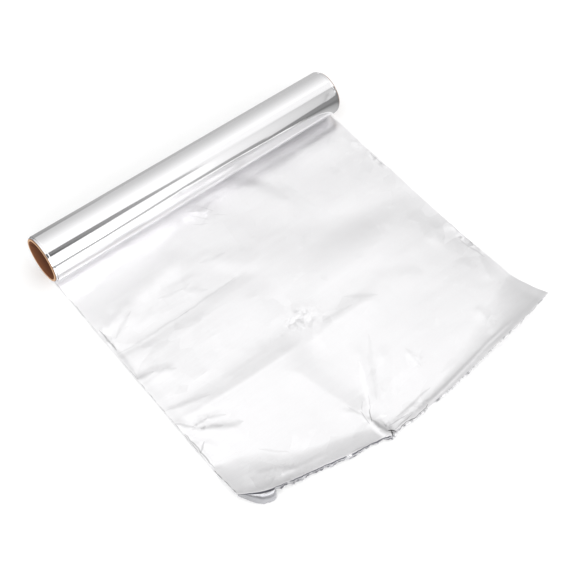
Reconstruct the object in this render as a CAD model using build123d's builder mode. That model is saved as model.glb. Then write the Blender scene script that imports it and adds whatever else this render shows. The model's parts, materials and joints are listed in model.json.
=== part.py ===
from build123d import *
import math
import os
from collections import namedtuple

# Roll of household foil with its first stretch pulled off and lying in front
# Millimetres. The origin is on the roll's axis at mid-width, X runs along the axis,
# the pulled sheet lies towards -Y, and +Z is up.

# Foil web
web_width = 300.0
foil_thickness = 0.4
free_length = 287.0

# Cardboard core
core_outer_radius = 19.7
core_wall = 1.9
core_overhang = 2.1

# Wound turns, whose inner ones stand out past the outer ones at both ends
wound_thickness = 1.2
inner_turns_share = 0.5
outer_turns_setback = 1.0
turn_gap_width = 0.2
turn_gap_depth = 0.6

# Pulled sheet
tuck_under_roll = 1.5
flat_length = 13.0
level_start = 2.0
settling_length = 15.0
rest_lift = 0.9
sections = 38
points_along = 46
curl_flattens_folds = 0.6

roll_radius = core_outer_radius + wound_thickness
floor_z = -roll_radius

# Front edge, from the left corner to the right one. across is a share of the web's width,
# setback is how far the edge stops short of free_length, rise is how high it curls,
# ramp is the length of sheet that curls up to it, and power is how late the curl comes.
EdgeStation = namedtuple("EdgeStation", "across setback rise ramp power")
front_edge = [
    EdgeStation(-0.500, 35.8, 7.4, 33.0, 1.2),
    EdgeStation(-0.440, 26.1, 6.8, 34.0, 1.2),
    EdgeStation(-0.380, 20.9, 6.0, 39.0, 1.2),
    EdgeStation(-0.355, 19.3, 5.7, 27.0, 1.25),
    EdgeStation(-0.267, 13.5, 4.7, 19.0, 1.3),
    EdgeStation(-0.207, 9.0, 4.2, 16.0, 1.4),
    EdgeStation(-0.115, 4.2, 3.2, 13.0, 1.5),
    EdgeStation(-0.098, 1.0, 1.8, 12.0, 1.5),
    EdgeStation(-0.073, 2.3, 2.0, 11.0, 1.6),
    EdgeStation(-0.027, 1.0, 2.6, 11.0, 1.8),
    EdgeStation(0.090, 0.0, 3.6, 12.0, 1.8),
    EdgeStation(0.223, 3.6, 5.6, 16.0, 1.8),
    EdgeStation(0.303, 5.6, 8.0, 20.0, 1.8),
    EdgeStation(0.367, 6.6, 10.0, 24.0, 1.8),
    EdgeStation(0.423, 7.8, 12.2, 27.0, 1.8),
    EdgeStation(0.473, 9.0, 15.0, 28.0, 1.8),
    EdgeStation(0.500, 9.2, 19.5, 28.0, 1.8),
]

# Folds lying in the sheet. A fold's line is a list of (share of the width, distance in front
# of the roll's axis), from left to right or from the roll to the front. height is its
# crest, behind is its reach on the side nearer the roll or the right edge, and before is
# its reach on the other side.
Fold = namedtuple("Fold", "line height behind before")
folds = [
    # Bands that cross the left half
    Fold([(-0.55, 68), (-0.40, 66), (-0.28, 60), (-0.15, 52)], 1.3, 24, 14),
    Fold([(-0.55, 112), (-0.40, 116), (-0.23, 116), (-0.03, 110)], 1.4, 17, 50),
    Fold([(-0.55, 174), (-0.33, 179), (-0.17, 181), (-0.06, 180)], 2.0, 20, 55),
    Fold([(-0.11, 184), (0.03, 183), (0.12, 184), (0.17, 190)], 1.1, 13, 26),
    # Rise beside the roll, and the long soft slopes of the right half
    Fold([(0.15, 26), (0.30, 24), (0.47, 23), (0.63, 22)], 1.8, 12, 36),
    Fold([(-0.08, 96), (0.07, 116), (0.20, 134), (0.37, 150), (0.57, 166)], 1.6, 38, 46),
    Fold([(-0.13, 72), (-0.07, 88), (-0.01, 104)], 0.6, 20, 14),
    Fold([(0.07, 4), (0.11, 30), (0.16, 62), (0.19, 88)], 0.8, 17, 30),
    Fold([(0.20, 84), (0.37, 92), (0.57, 100)], 0.7, 46, 30),
    Fold([(0.42, 120), (0.423, 200), (0.407, 280)], 1.8, 26, 44),
    # Arc left of the pinch in the front edge, and the lines that run back from it
    Fold([(-0.20, 186), (-0.16, 202), (-0.14, 222), (-0.12, 244), (-0.10, 268)], 0.9, 17, 22),
    Fold([(0.02, 208), (-0.03, 232), (-0.08, 262)], 0.8, 9, 10),
    Fold([(0.07, 222), (0.00, 246), (-0.07, 270)], 0.8, 9, 10),
    # Creases at the left edge
    Fold([(-0.51, 84), (-0.46, 76), (-0.39, 66), (-0.35, 58)], 0.9, 8, 9),
    Fold([(-0.51, 127), (-0.46, 129), (-0.39, 137)], 0.9, 8, 10),
    Fold([(-0.51, 172), (-0.47, 185), (-0.43, 188), (-0.38, 194)], 0.9, 8, 9),
    Fold([(-0.48, 192), (-0.44, 198), (-0.37, 210)], 0.9, 7, 9),
]
fold_end_share = 0.22

# Swell of the sheet towards its lifted right corner: its middle, its reach and its height
swell_middle = (0.53, 262.0)
swell_reach = (0.35, 92.0)
swell_height = 4.0

# Torn lip folded down outside the left part of the front edge. reach is how far it stands
# out from the fold, and hang is how far down the rise it comes.
LipStation = namedtuple("LipStation", "across reach hang")
torn_lip = [
    LipStation(-0.497, 1.2, 0.40),
    LipStation(-0.477, 5.0, 0.88),
    LipStation(-0.453, 7.5, 0.92),
    LipStation(-0.433, 7.0, 0.92),
    LipStation(-0.420, 4.5, 0.80),
    LipStation(-0.412, 1.8, 0.45),
    LipStation(-0.395, 2.3, 0.65),
    LipStation(-0.370, 1.7, 0.50),
    LipStation(-0.345, 2.3, 0.65),
    LipStation(-0.320, 1.7, 0.50),
    LipStation(-0.290, 2.2, 0.65),
    LipStation(-0.260, 1.6, 0.50),
    LipStation(-0.230, 2.2, 0.65),
    LipStation(-0.200, 1.7, 0.55),
    LipStation(-0.170, 2.1, 0.70),
    LipStation(-0.140, 1.6, 0.55),
    LipStation(-0.115, 1.8, 0.70),
    LipStation(-0.104, 1.2, 0.50),
]
lip_wall_share = 0.8
lip_bend_out = 0.7
lip_bend_down = 0.3
lip_root_drop = 0.1


def smooth(share):
    """Ease from 0 to 1 with level ends."""
    share = min(max(share, 0.0), 1.0)
    return share * share * (3.0 - 2.0 * share)


def edge_value(across, field):
    """Front edge value between the two stations beside it."""
    for left, right in zip(front_edge, front_edge[1:]):
        if across <= right.across:
            share = (across - left.across) / (right.across - left.across)
            start = getattr(left, field)
            return start + smooth(share) * (getattr(right, field) - start)
    return getattr(front_edge[-1], field)


def fold_height(x, distance, fold):
    """Height that one fold adds at a point, level at its foot and at both ends."""
    points = [(across * web_width, place) for across, place in fold.line]
    lengths = [math.dist(start, end) for start, end in zip(points, points[1:])]
    nearest = None
    walked = 0.0
    for start, end, length in zip(points, points[1:], lengths):
        dx = (end[0] - start[0]) / length
        dy = (end[1] - start[1]) / length
        run = min(max((x - start[0]) * dx + (distance - start[1]) * dy, 0.0), length)
        off_x = x - start[0] - run * dx
        off_y = distance - start[1] - run * dy
        side = dx * off_y - dy * off_x
        found = (math.hypot(off_x, off_y), side, (walked + run) / sum(lengths))
        nearest = found if nearest is None else min(nearest, found)
        walked += length
    away, side, along = nearest
    reach = fold.before if side > 0.0 else fold.behind
    return fold.height * smooth(1.0 - away / reach) * smooth(min(along, 1.0 - along) / fold_end_share)


def front_distance(across):
    """Distance from the roll's axis to the curled edge."""
    return free_length - edge_value(across, "setback")


def sheet_height(x, distance):
    """Height of the sheet's underside over the floor."""
    across = x / web_width
    clear = smooth((distance - flat_length - level_start) / settling_length)
    off_across = (across - swell_middle[0]) / swell_reach[0]
    off_along = (distance - swell_middle[1]) / swell_reach[1]
    swell = swell_height * smooth(1.0 - math.hypot(off_across, off_along))
    height = rest_lift + swell + sum(fold_height(x, distance, fold) for fold in folds)
    behind_edge = front_distance(across) - distance
    curl = max(1.0 - behind_edge / edge_value(across, "ramp"), 0.0) ** edge_value(across, "power")
    return clear * height * (1.0 - curl_flattens_folds * curl) + edge_value(across, "rise") * curl


def sheet_profile(across):
    """Underside of the sheet at one place across it, from the flat part to the curled edge."""
    level_end = flat_length + level_start
    run = front_distance(across) - level_end
    places = [flat_length, flat_length + level_start / 2]
    places += [level_end + run * step / points_along for step in range(points_along + 1)]
    return [(-place, floor_z + sheet_height(across * web_width, place)) for place in places]


def lip_outline(station):
    """Section of the torn lip, from inside the sheet's edge over the fold and down."""
    wall = lip_wall_share * foil_thickness
    fold_y = -front_distance(station.across)
    underside = sheet_height(station.across * web_width, -fold_y)
    top = floor_z + underside + wall
    drop = station.hang * underside
    middle = (fold_y - lip_bend_out * station.reach, top - lip_bend_down * drop)
    foot = (fold_y - station.reach, top - drop)
    root = (fold_y + foil_thickness, top - lip_root_drop * foil_thickness)
    inner = [(y + lip_bend_out * wall, z - lip_bend_out * wall) for y, z in (middle, foot)]
    return [root, middle, foot, inner[1], inner[0], (root[0], root[1] - wall)]


# Cardboard core: a plain tube, a little longer than the web is wide
with BuildPart() as core_tube:
    with BuildSketch(Plane.YZ.offset(-web_width / 2 - core_overhang)):
        Circle(core_outer_radius)
        Circle(core_outer_radius - core_wall, mode=Mode.SUBTRACT)
    extrude(amount=web_width + 2 * core_overhang)
core_tube.part.label = "core_tube"

# Wound turns, with the flat start of the sheet running out from under them
with BuildPart() as foil:
    with BuildSketch(Plane.YZ.offset(-web_width / 2)):
        Circle(core_outer_radius + inner_turns_share * wound_thickness)
        Circle(core_outer_radius, mode=Mode.SUBTRACT)
    extrude(amount=web_width)
    with BuildSketch(Plane.YZ.offset(-web_width / 2 + outer_turns_setback)):
        Circle(roll_radius)
        Circle(core_outer_radius, mode=Mode.SUBTRACT)
    extrude(amount=web_width - 2 * outer_turns_setback)
    # A fine gap beside the inner turns shows as a ring in each end
    gap_inner = core_outer_radius + inner_turns_share * wound_thickness
    gap_start = web_width / 2 - outer_turns_setback
    for end_plane in (Plane.YZ.offset(-gap_start), Plane.YZ.offset(gap_start - turn_gap_depth)):
        with BuildSketch(end_plane):
            Circle(gap_inner + turn_gap_width)
            Circle(gap_inner, mode=Mode.SUBTRACT)
        extrude(amount=turn_gap_depth, mode=Mode.SUBTRACT)
    with BuildSketch(Plane.YZ.offset(-web_width / 2)):
        with Locations(((tuck_under_roll - flat_length) / 2, floor_z + foil_thickness / 2)):
            Rectangle(tuck_under_roll + flat_length, foil_thickness)
    extrude(amount=web_width)
    # Free sheet, lofted from side to side through its sections
    for section in range(sections + 1):
        across = section / sections - 0.5
        underside = sheet_profile(across)
        top = [(y, z + foil_thickness) for y, z in underside]
        with BuildSketch(Plane.YZ.offset(across * web_width)):
            with BuildLine():
                Spline(*underside)
                Line(underside[-1], top[-1])
                Spline(*top)
                Line(top[0], underside[0])
            make_face()
    loft(ruled=True)
    # Torn lip folded down outside the left half of the front edge
    for station in torn_lip:
        with BuildSketch(Plane.YZ.offset(station.across * web_width)):
            Polygon(*lip_outline(station), align=None)
    loft(ruled=True)
foil.part.label = "foil"

os.makedirs("parts", exist_ok=True)
export_step(core_tube.part, "parts/core_tube.step")
export_step(foil.part, "parts/foil.step")
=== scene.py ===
import json
import math
from collections import namedtuple

import bmesh
import bpy
import numpy as np
from mathutils import Matrix, Vector, noise


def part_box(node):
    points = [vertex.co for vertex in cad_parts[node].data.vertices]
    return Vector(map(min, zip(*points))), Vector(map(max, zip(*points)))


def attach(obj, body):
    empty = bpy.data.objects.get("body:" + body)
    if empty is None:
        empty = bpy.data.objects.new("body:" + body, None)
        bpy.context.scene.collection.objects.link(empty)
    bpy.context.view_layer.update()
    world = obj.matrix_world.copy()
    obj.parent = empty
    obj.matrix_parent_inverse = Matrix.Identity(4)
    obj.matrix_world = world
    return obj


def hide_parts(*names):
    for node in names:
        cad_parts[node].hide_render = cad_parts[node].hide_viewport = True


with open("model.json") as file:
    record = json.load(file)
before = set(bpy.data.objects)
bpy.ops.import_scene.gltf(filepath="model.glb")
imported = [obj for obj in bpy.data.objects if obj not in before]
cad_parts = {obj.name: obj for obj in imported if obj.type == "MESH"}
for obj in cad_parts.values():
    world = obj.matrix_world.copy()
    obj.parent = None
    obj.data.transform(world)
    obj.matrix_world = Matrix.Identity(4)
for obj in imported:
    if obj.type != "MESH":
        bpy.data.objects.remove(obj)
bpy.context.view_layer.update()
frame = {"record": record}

bl_info = {
    "name": "Foil Roll Dresser",
    "version": (1, 0, 0),
    "blender": (4, 5, 0),
    "location": "3D View > Sidebar > Foil Roll",
    "description": "Dresses a roll of household foil with its turns, creased sheet and card core",
    "category": "Add Mesh",
}

# The frame is in metres. The lists of the sheet and the roll are in millimetres, with x
# across the web from its middle and distance running out from the roll's axis towards the
# front of the sheet.
MM = 0.001
TOLERANCE = MM / 100

core_low, core_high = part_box("core_tube")
foil_low, foil_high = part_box("foil")
CORE_RADIUS = core_high.z
CORE_LENGTH = core_high.x - core_low.x
WEB_WIDTH = foil_high.x - foil_low.x
ROLL_RADIUS = foil_high.z
FLOOR_Z = foil_low.z
BORE_RADIUS = frame["record"]["mounts"][0]["dims"]["r_mm"] * MM

# Front edge of the sheet from the left corner to the right one: where it stands, how high
# it curls, the length of sheet that curls up to it, and how late the curl comes
EdgeStation = namedtuple("EdgeStation", "x distance rise ramp power")
FRONT_EDGE = [EdgeStation(*row) for row in (
    (-150, 251.2, 9.2, 33, 1.2),
    (-144.4, 254.6, 9.2, 33, 1.25),
    (-132, 260.9, 8.2, 36, 1.3),
    (-114, 266.1, 7, 34, 1.6),
    (-107, 267.5, 6.4, 28, 1.6),
    (-95, 270.2, 5.7, 23, 1.6),
    (-80, 273.5, 5.2, 19, 1.5),
    (-62, 278, 4.8, 17, 1.5),
    (-36, 282.8, 3.4, 13, 1.5),
    (-32, 284.6, 4.6, 17, 1.1),
    (-27, 286.2, 4.6, 17, 1.1),
    (-23, 284.8, 2.4, 11, 1.6),
    (-8, 286, 2.6, 11, 1.8),
    (27, 285.7, 3.8, 13, 1.8),
    (67, 283.2, 5.9, 21, 1.6),
    (91, 281.2, 7.8, 26, 1.6),
    (110, 280.4, 9.7, 30, 1.5),
    (127, 279.2, 11.8, 33, 1.45),
    (142, 277.8, 14.4, 36, 1.4),
    (150, 277.8, 18.4, 38, 1.4),
)]

# Crests of the folds in the sheet. A crest's line runs from left to right, or from the roll
# to the front. Its height falls away over `behind` on the side nearer the roll or the right
# edge, and over `before` on the other. Its shape says which of crest and foot is sharp, and
# a tent has flat sides.
Crest = namedtuple("Crest", "line height behind before shape")
CRESTS = [Crest(*row) for row in (
    # Bands that cross the left half
    ([(-165, 76), (-130, 72), (-95, 63), (-45, 52)], 1.6, 27, 16, "soft"),
    ([(-165, 112), (-120, 116), (-70, 116), (-10, 110)], 1.2, 13, 50, "foot"),
    ([(-165, 174), (-100, 179), (-50, 181), (-18, 180)], 2.4, 22, 55, "crest"),
    ([(-32, 184), (10, 183), (35, 184), (52, 190)], 1.1, 13, 26, "crest"),
    # Rise beside the roll, towards the right
    ([(24, 22), (90, 22), (140, 22), (204, 22)], 0.75, 14, 40, "soft"),
    ([(80, 24), (140, 25), (220, 25)], 0.5, 14, 30, "soft"),
    # Long soft slope down to the right edge, and the bend beside the roll
    ([(-25, 96), (20, 116), (60, 134), (110, 150), (152, 162)], 1.2, 38, 46, "soft"),
    ([(-38, 72), (-20, 88), (-2, 104)], 0.6, 20, 14, "soft"),
    ([(14, -14), (27, 16), (42, 46), (56, 78)], 0.9, 15, 30, "soft"),
    ([(60, 84), (110, 92), (170, 100)], 0.7, 46, 30, "soft"),
    # Arc that bounds the bright patch left of the pinch
    ([(-60, 186), (-48, 202), (-43, 222), (-37, 244), (-31, 268)], 0.9, 17, 22, "crest"),
    # Lines that run back from the pinch
    ([(6, 208), (-8, 232), (-23, 262)], 0.6, 7, 9, "tent"),
    ([(22, 222), (0, 246), (-22, 270)], 0.6, 7, 8, "tent"),
    ([(-44, 244), (-36, 258), (-31, 270)], 0.5, 3, 6, "tent"),
    ([(-22, 246), (-28, 253), (-33, 258), (-34, 270)], 0.5, 2.5, 3, "tent"),
    ([(-30, 262), (-32, 275), (-31, 290)], 1, 7, 3, "tent"),
    ([(-24, 279), (-7, 278), (8, 277), (24, 272)], 0.4, 3, 3, "tent"),
    ([(-24, 284), (-5, 283), (10, 282)], 0.4, 2.5, 2.5, "tent"),
    ([(31, 238), (33, 256)], 0.5, 6, 5, "crest"),
    ([(104, 244), (101, 264), (94, 274)], 0.6, 9, 9, "crest"),
    # Hem beside the torn edge
    ([(-16, 286), (10, 284), (30, 282), (58, 279), (84, 276), (124, 274)], 0.7, 2.6, 2, "crest"),
    # Creases at the left edge
    ([(-150, 79), (-141, 75), (-119, 67), (-112, 64)], 0.6, 6, 9, "tent"),
    ([(-152, 93), (-138, 85), (-116, 72)], 0.5, 3, 9, "tent"),
    ([(-105, 77), (-81, 74), (-49, 78)], 0.25, 4, 8, "tent"),
    ([(-90, 78), (-72, 82), (-58, 92)], 0.3, 9, 9, "tent"),
    ([(-78, 76), (-60, 69), (-40, 67), (-24, 70)], 0.3, 7, 14, "tent"),
    ([(-142, 98), (-111, 102), (-44, 102)], 0.28, 3.5, 5, "tent"),
    ([(-152, 80), (-151, 108), (-152, 138)], 0.5, 6, 3, "tent"),
    ([(-156, 127), (-137, 129), (-119, 137)], 0.7, 5, 10, "tent"),
    ([(-155, 151), (-125, 150), (-98, 153)], 0.3, 8, 12, "tent"),
    ([(-152, 161), (-132, 167), (-110, 173)], 0.35, 3, 6, "tent"),
    # Folded patch above the left corner
    ([(-155, 170), (-141, 187), (-130, 187), (-112, 194)], 0.6, 5, 6, "tent"),
    ([(-142, 187), (-134, 189), (-127, 198), (-112, 210)], 0.6, 4, 9, "tent"),
    ([(-154, 196), (-143, 201), (-136, 210)], 0.4, 4, 4, "tent"),
    ([(-130, 244), (-114, 252), (-98, 264)], 0.4, 3, 4, "tent"),
    ([(-120, 256), (-100, 261), (-74, 266)], 0.35, 3, 3, "tent"),
    # Slope down to the right edge, and its creases
    ([(70, 110), (72, 190), (66, 290)], 3.2, 80, 110, "soft"),
    ([(124, 150), (127, 200), (122, 280)], 0.9, 26, 60, "soft"),
    ([(30, 190), (62, 178), (95, 196), (118, 178)], 0.5, 14, 20, "soft"),
    ([(118, 176), (135, 168), (158, 172)], 0.5, 12, 14, "crest"),
    ([(150, 200), (142, 214), (131, 236)], 0.6, 12, 12, "crest"),
)]

# Wide swells: middle, reach to either side across and along, and height
Swell = namedtuple("Swell", "x distance across along height")
SWELLS = [
    Swell(160, 262, 105, 92, 4.6),
    Swell(-100, 84, 60, 18, 0.4),
]

# Patches where the foil is crumpled: middle, reach, depth and size of its facets
Crumple = namedtuple("Crumple", "x distance across along depth facet")
CRUMPLES = [Crumple(*row) for row in (
    (-15, 30, 22, 14, 0.12, 5),
    (-15, 163, 26, 17, 0.45, 6),
    (-148, 82, 10, 20, 0.45, 6),
    (-132, 76, 22, 11, 0.15, 8),
    (-148, 130, 16, 12, 0.15, 7),
    (-134, 190, 26, 18, 0.25, 8),
    (-147, 212, 12, 18, 0.35, 6),
    (-112, 254, 34, 14, 0.15, 8),
    (-27, 276, 10, 15, 0.45, 4),
    (2, 281, 26, 7, 0.35, 4),
    (146, 52, 9, 20, 0.15, 4),
    (149, 78, 8, 24, 0.40, 4),
    (150, 186, 9, 36, 0.45, 4),
    (32, 250, 12, 16, 0.15, 5),
    (103, 264, 10, 8, 0.15, 4),
    (-132, 130, 62, 96, 0.0, 8),
    (-20, 258, 70, 46, 0.0, 8),
    (-15, 160, 60, 40, 0.0, 8),
    (-110, 256, 60, 26, 0.0, 8),
    (146, 150, 30, 120, 0.0, 8),
)]

# Painted shade and painted highlights for creases too fine for the mesh, and wider soft
# painted tones of light and shade: where each starts and ends, its width, and its tone,
# under 1 where it turns away from the light and over 1 where it turns to it
PaintedShadeMark = namedtuple("PaintedShadeMark", "start end width tone")
PAINTED_SHADE_MARKS = [PaintedShadeMark(*row) for row in (
    # Knot of the pinch, painted as a deep shadow, and the lines that run from it
    ((-31, 265), (-27, 287), 4.8, 0.66),
    ((-28, 281), (-23, 285), 1.8, 0.08),
    ((-30, 288), (-26, 282), 1.5, 0.12),
    ((-62, 277), (-31, 284), 3, 0.8),
    ((-28, 267), (-19, 270), 3, 1.1),
    ((-26, 258), (-32, 267), 1.1, 0.6),
    ((-26, 250), (-33, 257), 1.1, 0.8),
    ((-33, 255), (-34, 268), 1.3, 0.75),
    ((-18, 249), (-30, 264), 1.4, 0.88),
    ((-4, 222), (-26, 258), 5, 1.05),
    ((18, 208), (-16, 256), 6, 0.95),
    ((-14, 276), (24, 274), 3, 0.85),
    ((-24, 278), (-5, 279), 1.3, 0.76),
    ((-24, 283), (-3, 282), 1.3, 0.74),
    ((-22, 286), (-10, 284), 0.9, 0.35),
    ((-12, 284), (-3, 286), 1, 0.25),
    ((-4, 286), (12, 284), 0.9, 0.45),
    ((-38, 246), (-33, 262), 2.2, 0.9),
    # Creases at the left edge
    ((-118, 73), (-142, 86), 4.2, 0.9),
    ((-148, 72), (-147, 96), 1.8, 0.62),
    ((-150, 84), (-128, 83), 6, 0.95),
    ((-150, 133), (-128, 132), 6, 0.95),
    ((-147, 88), (-149, 128), 4, 0.87),
    ((-150, 127), (-136, 129), 4.2, 0.84),
    ((-138, 129), (-120, 137), 5, 0.91),
    ((-150, 99), (-80, 101), 2.8, 0.91),
    ((-90, 101), (-30, 99), 2.8, 0.91),
    ((-94, 77), (-72, 82), 4, 0.94),
    ((-74, 81), (-57, 94), 6, 0.94),
    ((-46, 70), (-22, 74), 5, 0.94),
    ((-149, 162), (-114, 172), 3.6, 0.91),
    ((-146, 96), (-146, 216), 9, 0.96),
    ((-150.2, 108), (-150.2, 236), 1.6, 0.62),
    ((-150, 4), (-150, 74), 1.2, 0.72),
    # Folded patch above the left corner
    ((-150, 175), (-140, 188), 3, 0.8),
    ((-142, 186), (-129, 187), 3, 0.86),
    ((-131, 186), (-115, 193), 3.4, 0.88),
    ((-143, 187), (-122, 199), 5.5, 0.86),
    ((-134, 193), (-108, 206), 8, 0.86),
    ((-149, 186), (-148, 222), 1.8, 0.6),
    ((-149, 206), (-141, 200), 2, 0.72),
    ((-148, 190), (-140, 208), 3, 1.05),
    ((-114, 230), (-97, 246), 2.6, 0.91),
    ((-126, 246), (-103, 261), 5, 0.96),
    # Darker ends of the curled front edge
    ((-195, 240), (-92, 272), 13, 0.84),
    ((-150.3, 222), (-150.3, 262), 1.6, 0.45),
    ((14, 281), (290, 261), 19, 0.86),
    ((-132, 262), (-106, 269), 6, 0.92),
    ((-52, 268), (-34, 266), 8, 0.94),
    ((60, 279), (240, 272), 8, 0.93),
    ((40, 270), (210, 255), 14, 0.955),
    ((120, 256), (176, 246), 26, 0.975),
    # Streaks and small creases beside the roll
    ((24, 8), (54, 40), 14, 0.97),
    ((42, 28), (68, 62), 12, 0.975),
    ((60, 40), (70, 84), 9, 0.985),
    ((88, 13), (204, 12), 11, 0.93),
    ((-22, 24), (-12, 38), 1.6, 0.9),
    ((-10, 22), (-2, 34), 1.4, 0.9),
    ((-26, 34), (-14, 42), 1.6, 0.92),
    ((-6, 36), (4, 44), 1.4, 0.93),
    # Middle of the sheet and the right edge
    ((-2, 176), (26, 180), 4, 0.94),
    ((26, 169), (49, 186), 5, 0.93),
    ((33, 236), (31, 256), 4, 0.95),
    ((132, 178), (152, 180), 8, 0.95),
    ((148, 66), (149, 90), 1.3, 0.8),
    ((149, 166), (150, 200), 1.4, 0.75),
    ((143, 186), (147, 214), 2.4, 0.87),
)]

# Torn lip that hangs outside the front edge: how far it stands out and how far down it comes
LipStation = namedtuple("LipStation", "x reach hang")
TORN_LIP = [LipStation(*row) for row in (
    (-150, 0.5, 0.2),
    (-147, 1.5, 0.6),
    (-143, 5, 0.9),
    (-136, 7.5, 0.97),
    (-130, 7, 0.97),
    (-126.5, 5, 0.9),
    (-124.5, 1, 0.3),
    (-120, 1.5, 0.6),
    (-60, 1.4, 0.6),
    (-33, 1.2, 0.6),
    (-28, 2.6, 0.8),
    (-24, 1.6, 0.5),
    (-18, 0.8, 0.2),
    (150, 0.8, 0.04),
)]


def new_object(name, data):
    """Object that stands in the scene with the given mesh, camera or light."""
    thing = bpy.data.objects.new(name, data)
    bpy.context.scene.collection.objects.link(thing)
    return thing


def add_piece(name, mesh, material, slot, *nodes):
    """Put a finished mesh into the scene as a piece of the object."""
    piece = new_object(name, mesh)
    mesh.materials.append(material)
    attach(piece, "root")
    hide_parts(*nodes)
    return piece


def smooth(share):
    """Ease from 0 to 1 with level ends."""
    share = np.clip(share, 0.0, 1.0)
    return share * share * (3.0 - 2.0 * share)


def station_value(stations, x, field):
    """Value of a field at x, on a smooth curve through the stations that never overshoots."""
    places = np.array([station.x for station in stations], float)
    values = np.array([getattr(station, field) for station in stations], float)
    slopes = np.diff(values) / np.diff(places)
    product = slopes[:-1] * slopes[1:]
    total = np.where(product > 0.0, slopes[:-1] + slopes[1:], 1.0)
    tangents = np.concatenate([slopes[:1], np.where(product > 0.0, 2.0 * product / total, 0.0), slopes[-1:]])
    right = np.clip(np.searchsorted(places, x), 1, len(places) - 1)
    span = places[right] - places[right - 1]
    share = np.clip((x - places[right - 1]) / span, 0.0, 1.0)
    start = values[right - 1] * (1.0 + 2.0 * share) + tangents[right - 1] * span * share
    end = values[right] * (3.0 - 2.0 * share) + tangents[right] * span * (share - 1.0)
    return start * (1.0 - share) ** 2 + end * share ** 2


def side_and_distance(x, distance, line):
    """Nearest distance to a line, which side of it a point is on, and how far along."""
    best = np.full(x.shape, 1e9)
    side = np.zeros(x.shape)
    along = np.zeros(x.shape)
    lengths = [math.dist(a, b) for a, b in zip(line, line[1:])]
    walked = 0.0
    for (start, end), length in zip(zip(line, line[1:]), lengths):
        dx = (end[0] - start[0]) / length
        dy = (end[1] - start[1]) / length
        run = np.clip((x - start[0]) * dx + (distance - start[1]) * dy, 0.0, length)
        off_x = x - start[0] - run * dx
        off_y = distance - start[1] - run * dy
        away = np.hypot(off_x, off_y)
        nearer = away < best
        best = np.where(nearer, away, best)
        side = np.where(nearer, dx * off_y - dy * off_x, side)
        along = np.where(nearer, (walked + run) / sum(lengths), along)
        walked += length
    return best, side, along


def share_of_reach(spot, x, distance):
    """How far each point is from a spot's middle, as a share of the spot's reach."""
    return np.hypot((x - spot.x) / spot.across, (distance - spot.distance) / spot.along)


# Share of a crest's line over which it fades at either end, and how sharp a sharp crest is
CREST_TAPER = 0.22
CREST_SHARPNESS = 0.6


def crest_height(x, distance, crest):
    """Height that one crest adds."""
    away, side, along = side_and_distance(x, distance, crest.line)
    width = np.where(side > 0.0, crest.before, crest.behind)
    fall = np.clip(away / width, 0.0, 1.0)
    form = smooth(1.0 - fall)
    if crest.shape == "foot":
        form = np.where(side > 0.0, form, 1.0 - fall ** 2)
    elif crest.shape == "crest":
        form = (1.0 - fall) ** 2 * CREST_SHARPNESS + form * (1.0 - CREST_SHARPNESS)
    elif crest.shape == "tent":
        form = 1.0 - fall
    ends = smooth(np.minimum(along, 1.0 - along) / CREST_TAPER)
    return crest.height * form * ends


# How the cells of a crumpled patch are stretched across the sheet, and the ridge between
# two cells that stays level with the sheet around it
CRUMPLE_STRETCH = 0.8
LEVEL_RIDGE = 0.6


def crumple_height(x, distance, crumple):
    """Facets of one crumpled patch, worked out from cells scattered over it."""
    reach = share_of_reach(crumple, x, distance)
    height = np.zeros(x.shape)
    for index in np.flatnonzero((reach < 1.0) & (crumple.depth > 0.0)):
        place = Vector((x[index], distance[index] * CRUMPLE_STRETCH, crumple.x)) / crumple.facet
        near = noise.voronoi(place)[0]
        ridge = near[0] - 0.5 * (near[1] - near[0])
        height[index] = 0.5 * crumple.depth * (LEVEL_RIDGE - ridge) * (1.0 - reach[index] ** 2)
    return height


# How steeply a patch's crumpling sets in at its edge, and how crumpled the flattest one is
PATCH_STEEPNESS = 1.4
FLATTEST_PATCH = 0.3


def crumpled(x, distance):
    """How crumpled the sheet is at each point, from 0 to 1."""
    most = np.zeros(x.shape)
    for crumple in CRUMPLES:
        inside = smooth(PATCH_STEEPNESS * (1.0 - share_of_reach(crumple, x, distance)))
        most = np.maximum(most, inside * min(FLATTEST_PATCH + crumple.depth, 1.0))
    return most


# Height of the sheet: where its folds start beside the roll and over what length, how high
# it lies at least and over most of its area, its wide shallow facets, and how much of its
# folds the front curl takes out
FOLDS_START = 8.0
FOLDS_GROW = 22.0
REST_LIFT = 0.35
BASE_LEVEL = 0.6
FACET_DEPTH = 0.28
FACET_SIZE = 34.0
FACET_STRETCH = 0.7
CURL_FLATTENS = 0.3


def sheet_height(x, distance):
    """Height of the sheet over the floor, in millimetres."""
    height = np.full(x.shape, BASE_LEVEL)
    for crest in CRESTS:
        height += crest_height(x, distance, crest)
    for swell in SWELLS:
        height += swell.height * smooth(1.0 - share_of_reach(swell, x, distance))
    for index in range(len(x)):
        place = Vector((x[index] * FACET_STRETCH, distance[index], 0.0)) / FACET_SIZE
        near = noise.voronoi(place)[0]
        height[index] += FACET_DEPTH * (near[0] - near[1])
    for crumple in CRUMPLES:
        height += crumple_height(x, distance, crumple)
    front, rise, ramp, power = (station_value(FRONT_EDGE, x, field) for field in EdgeStation._fields[1:])
    curl = np.clip(1.0 - (front - distance) / ramp, 0.0, 1.0) ** power
    folds = smooth((distance - FOLDS_START) / FOLDS_GROW) * height * (1.0 - CURL_FLATTENS * curl)
    return REST_LIFT + np.maximum(folds, 0.0) + rise * curl


# Rows of faces in the torn lip, and how the rows behind it crowd towards the edge
LIP_ROWS = 8
ROW_CROWDING = 1.12

# The tear's coarse and fine waves: length and strength
COARSE_TEAR = (5.0, 1.6)
FINE_TEAR = (1.7, 0.9)

# Where the wide flap of the lip ends, how ragged that flap is, and how soon the full tear
# follows it
FLAP_END = -127.0
FLAP_RAGGEDNESS = 0.15
FLAP_FADE = 5.0

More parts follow.
